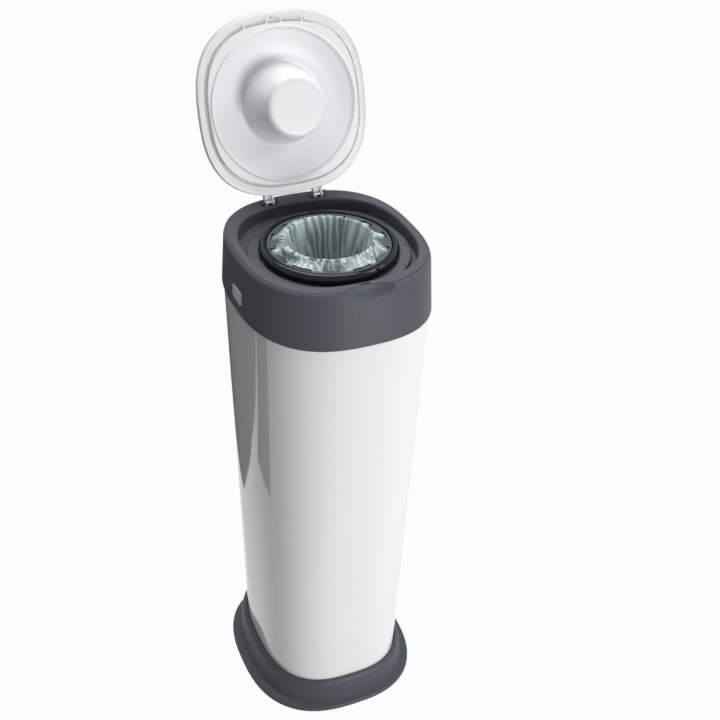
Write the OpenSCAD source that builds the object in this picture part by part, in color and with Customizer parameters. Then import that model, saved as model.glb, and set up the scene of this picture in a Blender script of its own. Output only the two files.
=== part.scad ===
// Nappy bin: a tapered bin body on a plinth, with a lift-off head that holds a twist ring,
// a film cassette and a hinged lid. Millimetres, +Z up, front towards -Y.
// The origin is on the floor under the middle of the collar.

/* [Overall] */
// Height of the collar rim above the floor
rim_z = 640; // [600:1:680]
// Wall thickness of the large mouldings
wall = 2.5; // [2:0.1:3]
// Points round each rounded-square outline
outline_points = 72; // [48:4:76]

/* [Body] */
// Half width of the body where it meets the plinth
body_foot_hw = 91; // [88:0.5:94]
// Half depth of the body where it meets the plinth
body_foot_hd = 109.9; // [106:0.1:112]
// Half width of the body under the collar
body_top_hw = 108.4; // [107.5:0.1:108.8]
// Half depth of the body under the collar
body_top_hd = 126.4; // [125.5:0.1:127]
// Height of the plinth
plinth_h = 42.7; // [38:0.1:48]
// Half width of the plinth's foot
foot_hw = 114.4; // [112:0.1:118]
// Half depth of the plinth's foot
foot_hd = 126.1; // [124:0.1:130]

/* [Collar] */
// Height of the collar, foot to rim
collar_h = 65.4; // [62:0.1:70]
// Half width of the collar at its foot
collar_hw = 110.3; // [110:0.1:112]
// Half depth of the collar at its foot
collar_hd = 128.4; // [128:0.1:130]
// Depth of the deck below the rim
deck_drop = 15; // [13:0.5:17]
// Length of the thumb scoop in the front of the rim
scoop_w = 70; // [60:1:80]

/* [Twist ring and cassette] */
// Where the ring's axis lies in front of the collar's middle
ring_y = -10; // [-11:0.5:-9]
// Radius of the ring's skirt
ring_r = 79.5; // [78.5:0.1:80.5]
// Number of tabs on the cassette cover, and of fingers in the gripper
tabs = 12; // [10:1:12]
// Number of marks on the dial
marks = 12; // [6:1:24]

/* [Lid] */
// Half width of the lid
lid_hw = 101.8; // [100:0.1:102.5]
// Half depth of the lid
lid_hd = 103.8; // [102:0.1:104.5]
// How far the lid opens, in degrees
lid_open = 107.3; // [95:0.1:112]
// Height of the dome above the lid's flange
dome_h = 15; // [12:0.5:18]
// Radius of the cup at its closed end
cup_r = 35; // [30:0.5:36]
// Depth of the cup below the lid's flange
cup_depth = 44; // [36:1:46]

/* [Release buttons] */
// Width of a button
button_w = 29; // [26:0.5:32]
// Height of a button
button_h = 16.5; // [14:0.5:18]

/* [Hidden] */
$fn = 96;

// Squareness of each outline: 2 is an ellipse, larger is squarer
collar_n = 2.62;
body_n = 2.75;
foot_n = 2.58;
lid_n = 2.66;

// Small gaps
seam = 0.8;

// Levels
collar_z = rim_z - collar_h;
deck_z = rim_z - deck_drop;
dial_z = deck_z + 4.5;
socket_z = plinth_h - 18;
shoulder_z = collar_z - seam;
neck_z = collar_z + 26.4;
sleeve_z = rim_z - 68;
gripper_z = rim_z - 54;

// Collar rim and well
rim_hw = 102.8;
rim_hd = 114.5;
well_y = -4.65;
well_hw = 95.3;
well_hd = 98.65;
neck_hw = 106.6;
neck_hd = 124.6;

// Bearing of the twist ring
sleeve_r = 75.6;
bearing_r = 76;
bearing_wall = 2.6;
dial_r = 92;
cassette_r = 70.4;
tub_in_r = 48.4;
tab_tip = 58.8;
tab_start = 11;

// Where the film's skirt, funnel and tube end, below the rim
skirt_z = -50;
funnel_z = -90;
tube_z = -163;

// Hinge
hinge_y = 99.5;
hinge_z = rim_z + 2.5;
pin_r = 1.6;
knuckle_r = 3.8;
knuckle_in = 25;
knuckle_w = 11;
ear_w = 3.5;

// Lid levels, with the lid closed
lid_z = rim_z + 0.8;
liner_z = lid_z + 3.3;
liner_side = 9.4;
liner_end = 11.8;
clip_from = -56;
clip_to = 34;
cup_root_r = 49;

// Release buttons
button_z = rim_z - 45;
button_face_x = 109.9;
tongue_x = 99;

body_white = "white";
dark_grey = "dimgray";

// A point of a rounded-square outline at angle t
function corner(hw, hd, n, t) = [
    hw * sign(cos(t)) * pow(abs(cos(t)), 2 / n),
    hd * sign(sin(t)) * pow(abs(sin(t)), 2 / n)
];

// A rounded-square outline as plane points
function outline(hw, hd, n) = [
    for (i = [0 : outline_points - 1]) corner(hw, hd, n, 360 * i / outline_points)
];

// The same outline lifted to height z and moved along Y
function ring(hw, hd, n, z, y = 0) = [
    for (p = outline(hw, hd, n)) [p[0], p[1] + y, z]
];

function flat(rings) = [for (r = rings) each r];

// Two triangles for each quad between ring a and ring b
function band(a, b, m) = [
    for (j = [0 : m - 1])
        let (k = (j + 1) % m)
        each [[a * m + j, b * m + j, b * m + k], [a * m + j, b * m + k, a * m + k]]
];

// A solid through rings that rise from the first to the last
module loft(rings) {
    m = len(rings[0]);
    last = len(rings) - 1;
    sides = [for (i = [0 : last - 1]) each band(i, i + 1, m)];
    foot = [[for (j = [0 : m - 1]) j]];
    top = [[for (j = [m - 1 : -1 : 0]) last * m + j]];
    polyhedron(points = flat(rings), faces = concat(sides, foot, top), convexity = 6);
}

// A hollow wall: its rings go up the outside and down the inside
module hollow_loft(rings) {
    m = len(rings[0]);
    count = len(rings);
    sides = [for (i = [0 : count - 1]) each band(i, (i + 1) % count, m)];
    polyhedron(points = flat(rings), faces = sides, convexity = 6);
}

// A flat plate with a rounded-square outline
module plate(hw, hd, n, z, thick, y = 0) {
    translate([0, y, z])
        linear_extrude(thick)
            polygon(outline(hw, hd, n));
}

// A round-cornered rectangle
module round_rect(w, h, r) {
    square([w - 2 * r, h], center = true);
    square([w, h - 2 * r], center = true);
    for (x = [-1, 1], y = [-1, 1])
        translate([x * (w / 2 - r), y * (h / 2 - r)])
            circle(r);
}

// A solid of revolution round the twist ring's axis, from radius and height above z
module turned(points, z = 0) {
    translate([0, ring_y, z])
        rotate_extrude()
            polygon(points);
}

// Children copied round the twist ring's axis
module around(count, start = 0) {
    for (i = [0 : count - 1])
        translate([0, ring_y, 0])
            rotate([0, 0, start + 360 * i / count])
                children();
}

// Children swung from the closed to the open position of the lid
module lid_opened() {
    translate([0, hinge_y, hinge_z])
        rotate([-lid_open, 0, 0])
            translate([0, -hinge_y, -hinge_z])
                children();
}

// ---- Base ----

pad_r = 9.5;
pad_h = 2.4;
pad_x = 63;
pad_y = 75;
base_screw_x = 40;
base_screw_y = 82;
floor_z = socket_z + 3;

module base_plinth() {
    hw = body_foot_hw;
    hd = body_foot_hd;
    h = plinth_h;
    color(dark_grey)
    difference() {
        union() {
            difference() {
                plate(foot_hw, foot_hd, foot_n, 0, 3.4);
                plate(foot_hw - 14, foot_hd - 12, foot_n, -1, 6);
            }
            hollow_loft([
                ring(foot_hw, foot_hd, foot_n, 3.3),
                ring(foot_hw - 0.9, foot_hd - 0.9, foot_n, 5.2),
                ring(foot_hw - 5, foot_hd - 4.4, foot_n, 6.4),
                ring(foot_hw - 9.4, foot_hd - 7.9, foot_n, 8),
                ring(foot_hw - 11.4, foot_hd - 8.9, 2.62, 12),
                ring(foot_hw - 13.4, foot_hd - 9.4, 2.66, 21),
                ring(foot_hw - 14.7, foot_hd - 9.6, 2.7, h - 10),
                ring(foot_hw - 15.9, foot_hd - 10.2, 2.72, h - 5.4),
                ring(foot_hw - 18.3, foot_hd - 12.2, body_n, h - 1.9),
                ring(hw + 2.4, hd + 1.7, body_n, h),
                ring(hw + 0.3, hd + 0.3, body_n, h - 1.2),
                ring(hw + 0.1, hd + 0.1, body_n, socket_z),
                ring(hw - 3.5, hd - 3.5, body_n, socket_z),
                ring(hw - 3.5, hd - 3.5, body_n, socket_z - 2.5),
                ring(foot_hw - 16.5, foot_hd - 12.2, 2.66, socket_z - 2.5),
                ring(foot_hw - 13.4, foot_hd - 11.6, foot_n, 3.3)
            ]);
            for (x = [-1, 1], y = [-1, 1]) {
                translate([x * pad_x, y * pad_y, 0])
                    cylinder(r = pad_r + 2, h = socket_z);
                translate([x * base_screw_x, y * base_screw_y, 4])
                    cylinder(r = 6.5, h = floor_z - 4.1);
                web(x, y);
            }
        }
        for (x = [-1, 1], y = [-1, 1]) {
            translate([x * pad_x, y * pad_y, -1])
                cylinder(r = pad_r, h = pad_h + 1);
            translate([x * base_screw_x, y * base_screw_y, 0])
                cylinder(r = 4, h = 8);
            translate([x * base_screw_x, y * base_screw_y, 0])
                cylinder(r = 1.9, h = 60);
        }
    }
}

// Ribs that tie a screw boss to its foot boss and to the socket's ledge
module web(x, y) {
    reach = norm([pad_x - base_screw_x, pad_y - base_screw_y]) - pad_r;
    translate([x * base_screw_x, y * base_screw_y, 9])
        rotate([0, 0, atan2(y * (pad_y - base_screw_y), x * (pad_x - base_screw_x))])
            translate([3, -1.2, 0])
                cube([reach, 2.4, socket_z - 10]);
    translate([x * base_screw_x - 1.2, y * (base_screw_y + 13) - 10, 9])
        cube([2.4, 20, socket_z - 10]);
}

module foot_pads() {
    color("black")
    for (x = [-1, 1], y = [-1, 1])
        translate([x * pad_x, y * pad_y, 0])
            cylinder(r = pad_r, h = pad_h);
}

module base_screws() {
    color("silver")
    for (x = [-1, 1], y = [-1, 1])
        translate([x * base_screw_x, y * base_screw_y, 0]) {
            difference() {
                translate([0, 0, 5.9])
                    cylinder(r = 3.6, h = 2.1);
                translate([-2.2, -0.4, 5])
                    cube([4.4, 0.8, 2]);
                translate([-0.4, -2.2, 5])
                    cube([0.8, 4.4, 2]);
            }
            translate([0, 0, 8])
                cylinder(r = 1.5, h = floor_z + 2);
        }
}

// Half size of the body at height z
function body_hw(z) = body_foot_hw + (body_top_hw - body_foot_hw) * (z - plinth_h) / (shoulder_z - plinth_h);
function body_hd(z) = body_foot_hd + (body_top_hd - body_foot_hd) * (z - plinth_h) / (shoulder_z - plinth_h);

module body_shell() {
    z0 = socket_z + 0.1;
    w = wall;
    top_n = collar_n;
    color(body_white)
    difference() {
        hollow_loft([
            ring(body_hw(z0) - 0.5, body_hd(z0) - 0.5, body_n, z0),
            ring(body_foot_hw, body_foot_hd, body_n, plinth_h),
            ring(body_hw(300), body_hd(300), 2.68, 300),
            ring(body_top_hw, body_top_hd, top_n, shoulder_z - 0.8),
            ring(body_top_hw - 0.8, body_top_hd - 0.8, top_n, shoulder_z),
            ring(neck_hw, neck_hd, top_n, shoulder_z),
            ring(neck_hw - 0.8, neck_hd - 4.2, top_n, neck_z - 1.5),
            ring(neck_hw - 1.8, neck_hd - 5.2, top_n, neck_z),
            ring(neck_hw - 3.2, neck_hd - 6.6, top_n, neck_z),
            ring(neck_hw - 2.4, neck_hd - 2.6, top_n, shoulder_z - 2),
            ring(body_hw(300) - w, body_hd(300) - w, 2.68, 300),
            ring(body_hw(z0) - 0.5 - w, body_hd(z0) - 0.5 - w, body_n, z0)
        ]);
        for (side = [-1, 1])
            translate([side * 104, ring_y, neck_z])
                cube([16, button_w + 12, 2 * (neck_z - button_z) + button_h + 9], center = true);
    }
    color(body_white)
    for (side = [-1, 1])
        translate([side * (neck_hw - 3.4), ring_y, shoulder_z + 5.6])
            cube([1.2, 20, 1.6], center = true);
}

module body_floor() {
    z0 = floor_z;
    color("gainsboro")
    difference() {
        union() {
            hollow_loft([
                ring(body_hw(z0) - wall - 2.8, body_hd(z0) - wall - 2.8, body_n, z0),
                ring(body_hw(z0) - wall - 0.9, body_hd(z0) - wall - 0.9, body_n, z0 + 4),
                ring(body_hw(z0) - wall - 0.6, body_hd(z0) - wall - 0.6, body_n, z0 + 14),
                ring(body_hw(z0) - wall - 2.4, body_hd(z0) - wall - 2.4, body_n, z0 + 14),
                ring(body_hw(z0) - wall - 2.8, body_hd(z0) - wall - 2.8, body_n, z0 + 4),
                ring(body_hw(z0) - wall - 4.8, body_hd(z0) - wall - 4.8, body_n, z0 + 2)
            ]);
            plate(body_hw(z0) - wall - 3, body_hd(z0) - wall - 3, body_n, z0, 2.2);
            for (x = [-1, 1], y = [-1, 1])
                translate([x * base_screw_x, y * base_screw_y, z0])
                    cylinder(r1 = 5.5, r2 = 4.5, h = 12);
            for (x = [-40, 0, 40])
                translate([x - 0.9, -96, z0 + 1])
                    cube([1.8, 192, 4.2]);
            for (y = [-60, 0, 60])
                translate([-80, y - 0.9, z0 + 1])
                    cube([160, 1.8, 4.2]);
        }
        for (x = [-1, 1], y = [-1, 1])
            translate([x * base_screw_x, y * base_screw_y, z0 - 1])
                cylinder(r = 1.5, h = 11.5);
    }
}

// ---- Head ----

// Outside of the collar as a solid
module collar_outside() {
    loft([
        ring(collar_hw, collar_hd, collar_n, collar_z),
        ring(rim_hw + 5.3, rim_hd + 5.4, collar_n, rim_z - 6.4),
        ring(rim_hw + 4.4, rim_hd + 4.4, collar_n, rim_z - 3),
        ring(rim_hw + 2.4, rim_hd + 2.4, collar_n, rim_z - 0.9),
        ring(rim_hw, rim_hd, collar_n, rim_z)
    ]);
}

// Space under the deck, and the channel between the outer wall and the well
module collar_inside() {
    deck_under = deck_z - wall;
    loft([
        ring(collar_hw - wall - 0.1, collar_hd - wall - 0.4, collar_n, collar_z - 1),
        ring(collar_hw - wall, collar_hd - wall - 0.4, collar_n, collar_z),
        ring(rim_hw + 2.6, rim_hd + 2.7, collar_n, deck_under)
    ]);
    difference() {
        loft([
            ring(rim_hw + 2.6, rim_hd + 2.7, collar_n, deck_under - 0.1),
            ring(rim_hw + 2.2, rim_hd + 2.2, collar_n, rim_z - 7.5),
            ring(rim_hw - 0.6, rim_hd - 0.6, collar_n, rim_z - 2.6)
        ]);
        plate(well_hw + 2.2, well_hd + 2.2, collar_n, deck_under - 5, 30, well_y);
        translate([0, -112, rim_z - 20])
            cube([scoop_w + 10, 24, 60], center = true);
        translate([0, 102, rim_z])
            cube([92, 26, 20], center = true);
    }
}

// The thumb scoop: a long barrel of revolution lying across the front, scoop_w wide at its mouth
module scoop(r) {
    half = scoop_w / 2;
    taper = 0.55 * r;
    bow = (half * half + taper * taper) / (2 * taper);
    arc = acos(1 - r / bow);
    translate([0, -125.5, rim_z + 0.5])
        rotate([0, 90, 0])
            rotate_extrude()
                polygon([
                    for (i = [-14 : 14])
                        let (a = arc * i / 14)
                        [max(0, bow * cos(a) - bow + r), bow * sin(a)]
                ]);
}

// The hinge's ear beside a knuckle, on the rim
module hinge_ear(x) {
    translate([x, 0, 0])
        rotate([90, 0, 90])
            linear_extrude(ear_w) {
                translate([hinge_y, hinge_z])
                    circle(knuckle_r);
                translate([hinge_y - knuckle_r, rim_z - 3])
                    square([2 * knuckle_r, hinge_z - rim_z + 3]);
            }
}

// A gusset under the deck that rests on the body's neck
module rim_rib(t) {
    p = corner(rim_hw + 4.4, rim_hd + 6.6, collar_n, t);
    translate([p[0], p[1], neck_z + 0.4])
        rotate([0, 0, atan2(p[1], p[0])])
            translate([-9, -1, 0])
                cube([9, 2, deck_z - neck_z - wall]);
}

// The fine groove between the flat top of the rim and its rounded outside
module rim_crease() {
    difference() {
        plate(rim_hw + 1.5, rim_hd + 1.5, collar_n, rim_z - 1.1, 3);
        plate(rim_hw + 0.8, rim_hd + 0.8, collar_n, rim_z - 2, 5);
    }
}

gripper_screw_r = 87;

module collar_shell() {
    color(dark_grey)
    difference() {
        union() {
            difference() {
                collar_outside();
                collar_inside();
                loft([
                    ring(well_hw - 1.7, well_hd - 0.75, collar_n, deck_z, well_y),
                    ring(well_hw - 0.6, well_hd - 0.5, collar_n, rim_z - 2.4, well_y),
                    ring(well_hw, well_hd, collar_n, rim_z - 0.8, well_y),
                    ring(well_hw + 0.9, well_hd + 0.9, collar_n, rim_z + 0.1, well_y)
                ]);
            }
            for (t = [24, 48, 72, 108, 132, 156, 204, 228, 252, 288, 312, 336])
                rim_rib(t);
            translate([0, ring_y, sleeve_z])
                cylinder(r = bearing_r + bearing_wall, h = deck_z - sleeve_z - 1);
            around(4, 45)
                translate([gripper_screw_r, 0, gripper_z])
                    cylinder(r = 4.6, h = deck_z - gripper_z - 1);
            for (side = [-1, 1]) {
                hinge_ear(side * (knuckle_in + knuckle_w / 2) - knuckle_w / 2 - ear_w - 0.8);
                hinge_ear(side * (knuckle_in + knuckle_w / 2) + knuckle_w / 2 + 0.8);
                spring_seat(side);
            }
        }
        translate([0, ring_y, sleeve_z - 1])
            cylinder(r = bearing_r, h = 100);
        rim_crease();
        scoop(17);
        translate([-6.2, -108.1, rim_z - 7])
            cube([11, 2.1, 20]);
        translate([3, -108.5, rim_z - 7])
            cube([3.4, 2.9, 20]);
        for (side = [-1, 1]) {
            translate([side * (knuckle_in + knuckle_w / 2), hinge_y, rim_z])
                cube([knuckle_w + 1.6, 2 * knuckle_r + 3.2, 5], center = true);
            translate([side * (knuckle_in + knuckle_w / 2) - 10, hinge_y, hinge_z])
                rotate([0, 90, 0])
                    cylinder(r = pin_r, h = 20);
            button_window(side);
        }
        around(4, 45)
            translate([gripper_screw_r, 0, gripper_z - 1])
                cylinder(r = 1.5, h = 14);
    }
}

// Flat seat with a spigot for a button's spring, on the bearing tube
module spring_seat(side) {
    translate([side * 78.4, ring_y, button_z])
        rotate([0, side * 90, 0]) {
            cylinder(r = 5.4, h = 3.4);
            cylinder(r = 1.7, h = 6);
        }
}

module button_window(side) {
    translate([side * 100, ring_y, button_z])
        rotate([90, 0, side * 90])
            linear_extrude(20)
                round_rect(button_w + 0.8, button_h + 0.8, 5.4);
}

module dial_plate() {
    color("slategray")
    difference() {
        turned([
            [bearing_r + 0.4, 0], [dial_r - 0.6, 0], [dial_r, 0.6], [dial_r, 3.6],
            [dial_r - 0.9, 4.5], [bearing_r + 0.4, 4.5]
        ], deck_z);
        around(3, 30)
            translate([84, 0, deck_z - 1])
                cylinder(r = 1.6, h = 2.6);
    }
}

// Plain marks round the dial, one each step
module dial_marks() {
    color("black")
    around(marks, 18)
        translate([85.4, -0.5, dial_z])
            cube([4.6, 1, 0.3]);
}

finger_in = 33;

module film_gripper() {
    drop = 28;
    color("gray")
    difference() {
        union() {
            turned([
                [81, -drop], [81, -2.5], [81, 0], [92, 0], [92, -2.5], [83, -2.5],
                [83, -drop - 2], [60, -drop - 4], [60, -drop - 2]
            ], gripper_z);
            around(tabs)
                rotate([90, 0, 0])
                    translate([0, gripper_z - drop, -5])
                        linear_extrude(10)
                            polygon([
                                [63, -3.6], [63, -2.2], [56, -2.6], [44, -7], [finger_in, -15],
                                [finger_in, -17], [43, -9], [55, -4.4]
                            ]);
        }
        around(4, 45)
            translate([gripper_screw_r, 0, gripper_z - 4])
                cylinder(r = 1.8, h = 6);
    }
}

module gripper_screws() {
    color("silver")
    around(4, 45)
        translate([gripper_screw_r, 0, gripper_z]) {
            difference() {
                translate([0, 0, -4.6])
                    cylinder(r = 3.4, h = 2.1);
                translate([-2, -0.4, -5])
                    cube([4, 0.8, 1.6]);
                translate([-0.4, -2, -5])
                    cube([0.8, 4, 1.6]);
            }
            translate([0, 0, -2.5])
                cylinder(r = 1.5, h = 13);
        }
}

module hinge_pin(side) {
    color("silver")
    translate([side * (knuckle_in + knuckle_w / 2) - 9.6, hinge_y, hinge_z])
        rotate([0, 90, 0])
            cylinder(r = pin_r, h = 19.2);
}

// ---- Release buttons: a cap in the collar's window, with an arm over the neck and a catch inside it ----

module release_button(side) {
    color("darkgray")
    mirror([side > 0 ? 0 : 1, 0, 0]) {
        difference() {
            translate([104.6, ring_y, button_z])
                rotate([90, 0, 90])
                    linear_extrude(button_face_x - 104.6)
                        round_rect(button_w, button_h, 5);
            translate([103, ring_y, button_z])
                rotate([90, 0, 90])
                    linear_extrude(4.4)
                        round_rect(button_w - 4, button_h - 4, 3);
        }
        translate([103.2, ring_y, button_z])
            rotate([90, 0, 90])
                linear_extrude(1.5)
                    round_rect(button_w + 4, button_h + 4, 6);
        translate([tongue_x, ring_y - 9, button_z + 1])
            cube([5, 18, 6]);
        translate([tongue_x - 2, ring_y - 9, shoulder_z + 1])
            cube([2.2, 18, button_z - shoulder_z + 6]);
        rotate([90, 0, 0])
            translate([0, 0, -ring_y - 8])
                linear_extrude(16)
                    polygon([
                        [tongue_x - 0.2, shoulder_z + 4.4], [tongue_x + 3, shoulder_z + 4.4],
                        [tongue_x + 3, shoulder_z + 3.4], [tongue_x - 0.2, shoulder_z + 1]
                    ]);
        translate([tongue_x - 4.6, ring_y, button_z])
            rotate([0, 90, 0])
                cylinder(r = 1.7, h = 3);
    }
}

spring_wire = 0.45;
spring_r = 3.4;
spring_turns = 6;
spring_steps = 12;

// Steel coil between the spring seat and the button's tongue
module button_spring(side) {
    x0 = 82 + spring_wire;
    x1 = tongue_x - 2 - spring_wire - 0.1;
    count = spring_turns * spring_steps;
    rings = [
        for (i = [0 : count])
            let (a = 360 * i / spring_steps, x = x0 + (x1 - x0) * i / count)
            [for (k = [0 : 5])
                let (c = 60 * k, r = spring_r + spring_wire * cos(c))
                [x + spring_wire * sin(c), r * cos(a) + ring_y, r * sin(a) + button_z]]
    ];
    color("silver")
    mirror([side > 0 ? 0 : 1, 0, 0])
        loft(rings);
}

// ---- Twist ring ----

module twist_ring() {
    top = ring_r - 5.1;
    color("black")
    difference() {
        union() {
            turned([
                [ring_r, -9.9], [ring_r, -8.4], [ring_r - 0.6, -5.4], [ring_r - 1.8, -2.8],
                [ring_r - 3.4, -0.7], [top, 0.4], [top - 1.3, 0.4], [top - 1.7, -0.4],
                [top - 2.3, -0.4], [top - 2.6, 0.2], [71.4, 0.2], [71, -0.4], [71, -10],
                [73, -12], [73, -52], [66, -52], [66, -54.5], [73, -54.5], [73, -68],
                [sleeve_r, -68], [sleeve_r, -3], [ring_r - 2.4, -9.9]
            ], rim_z);
            translate([0, ring_y, 0])
                rotate([0, 0, -69])
                    translate([ring_r - 2.8, 0, rim_z - 1.6])
                        sphere(r = 2.4);
        }
        for (a = [180, -50, 65])
            translate([0, ring_y, 0])
                rotate([0, 0, a])
                    translate([ring_r - 1.2, -5, rim_z - 11])
                        cube([8, 10, 5]);
        around(3, 20)
            translate([74.2, 0, rim_z - 66.2])
                cube([8, 12, 1.6], center = true);
    }
}

module ring_retainer() {
    color("dimgray")
    difference() {
        union() {
            turned([
                [sleeve_r + 0.1, -3.2], [bearing_r + bearing_wall, -3.2],
                [bearing_r + bearing_wall, -0.6], [sleeve_r + 0.1, -0.6]
            ], sleeve_z);
            turned([
                [73, -3.2], [sleeve_r + 1, -3.2], [sleeve_r + 1, -2.2], [sleeve_r - 0.4, -0.2],
                [73, -0.2]
            ], sleeve_z);
        }
        around(6)
            translate([sleeve_r + 1.4, 0, sleeve_z - 1.9])
                cube([1.4, 7, 4], center = true);
    }
}

// ---- Cassette ----

module cassette_tub() {
    color("gray")
    turned([
        [tub_in_r, -51.6], [cassette_r - 0.8, -51.6], [cassette_r, -50.8], [cassette_r, -6.9],
        [68.6, -6.9], [68.6, -49.6], [tub_in_r + 2.2, -49.6], [tub_in_r + 2.2, 3.6],
        [tub_in_r + 1.6, 4.4], [tub_in_r + 0.6, 4.4], [tub_in_r, 3.6]
    ], rim_z);
}

// Plan of one tab of the cover: wide at the root, with a round-cornered tip
module tab_outline() {
    corner_r = 3.2;
    half = 4.4;
    polygon([
        [68.4, -12.6], [68.4, 12.6], [66.4, 10.4], [64, 9], [tab_tip + corner_r, half + corner_r],
        [tab_tip + corner_r, -half - corner_r], [64, -9], [66.4, -10.4]
    ]);
    for (y = [-half, half])
        translate([tab_tip + corner_r, y])
            circle(corner_r);
    translate([tab_tip, -half])
        square([corner_r + 1, 2 * half]);
}

module cover_tab() {
    intersection() {
        translate([0, 0, rim_z - 6])
            linear_extrude(8)
                tab_outline();
        translate([0, 0, rim_z])
            rotate_extrude()
                polygon([
                    [tab_tip - 1, -4.5], [tab_tip + 3, -4.3], [67.8, -2.6], [67.8, -0.8],
                    [66, -1], [tab_tip + 1, -2.9], [tab_tip - 1, -3.6]
                ]);
    }
}

module cassette_cover() {
    color("slategray")
    union() {
        turned([
            [cassette_r, -6.4], [cassette_r, -2], [cassette_r - 0.9, -0.7], [67.6, -0.6], [66.9, -1.3],
            [66.9, -11], [68.2, -11], [68.2, -6.4]
        ], rim_z);
        around(tabs, tab_start)
            cover_tab();
    }
}

// Folded film waiting in the tub
module film_pack() {
    folds = 9;
    pitch = 3.6;
    color("lightcyan")
    turned(concat(
        [[52, -14], [52, -14 - folds * pitch]],
        [for (i = [0 : folds - 1])
            each [[66.8, -14 - (folds - i) * pitch + 0.4], [63.4, -14 - (folds - i - 0.5) * pitch]]],
        [[66.4, -14]]
    ), rim_z);
}

// ---- Film drawn from the tub: a skirt over its inner wall, a funnel and tube below, and the twist ----

module film_skirt() {
    color("lightcyan")
    turned([
        [65.4, -7.6], [58.6, -7.4], [53.4, -3.6], [51.5, 3.8], [50.3, 5], [48.9, 4.9],
        [47.8, 3.6], [47.4, -8], [46.6, -22], [45.6, -44], [45.2, skirt_z], [44, skirt_z],
        [44.4, -44], [45.4, -22], [46.3, -8], [46.8, 4.2],
        [48.4, 6.1], [50.8, 6.2], [52.6, 4.4], [54.6, -3], [59.4, -6.2], [65.4, -6.4]
    ], rim_z);
}

module film_funnel() {
    color("lightcyan")
    turned([
        [45.2, skirt_z], [43, -56], [35, -72], [30.4, -84], [29.6, funnel_z],
        [28.4, funnel_z], [29.2, -84], [33.8, -71.4], [41.8, -55.4], [44, skirt_z]
    ], rim_z);
}

module film_tube() {
    color("lightcyan")
    turned([[28.4, funnel_z], [28.4, tube_z], [29.6, tube_z], [29.6, funnel_z]], rim_z);
}

module film_twist() {
    color("lightcyan")
    union() {
        turned([
            [29.6, tube_z], [25, -172], [16, -182], [6.5, -189], [0, -191.5], [0, -187.5],
            [5.5, -187], [15, -180.6], [24, -171], [28.4, tube_z]
        ], rim_z);
        translate([0, ring_y, rim_z - 198])
            cylinder(r1 = 11, r2 = 4, h = 12);
    }
}

// ---- Lid, drawn closed and swung open about its hinge ----

// A hinge arm: two cheeks with the pin's holes, and a web between them
module lid_arms() {
    cheek = 2.6;
    for (side = [-1, 1])
        translate([side * (knuckle_in + knuckle_w / 2) - knuckle_w / 2, 0, 0]) {
            for (x = [0, knuckle_w - cheek])
                translate([x, 0, 0])
                    rotate([90, 0, 90])
                        linear_extrude(cheek)
                            union() {
                                translate([hinge_y, hinge_z])
                                    circle(knuckle_r);
                                polygon([
                                    [88, lid_z + 4.2], [88, lid_z + 6.6], [94, lid_z + 7.4],
                                    [99.5, lid_z + 6.4], [hinge_y + 2.6, hinge_z + 2.6],
                                    [hinge_y - 2.4, hinge_z - 2.2], [94, lid_z + 2]
                                ]);
                            }
            rotate([90, 0, 90])
                linear_extrude(knuckle_w)
                    polygon([
                        [88, lid_z + 4.2], [88, lid_z + 6.6], [94, lid_z + 7.4], [99.5, lid_z + 6.4],
                        [102, lid_z + 4.6], [101, lid_z + 3.2], [98.6, lid_z + 4.4], [94, lid_z + 5.2]
                    ]);
        }
}

// Ribs on the flange's underside: one for each cheek, flared at its foot, and one in the middle
module hinge_ribs() {
    for (x = [-35, -26, 0, 26, 35])
        translate([x - 0.6, 84.4, lid_z - 0.4])
            cube([1.2, 9, 1.4]);
    for (side = [-1, 1], x = [knuckle_in + 1.3, knuckle_in + knuckle_w - 1.3])
        translate([side * x, 0, lid_z + 0.6])
            linear_extrude(2.8)
                polygon([[-0.7, 91], [0.7, 91], [1.6, 98], [-1.6, 98]]);
}

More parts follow.
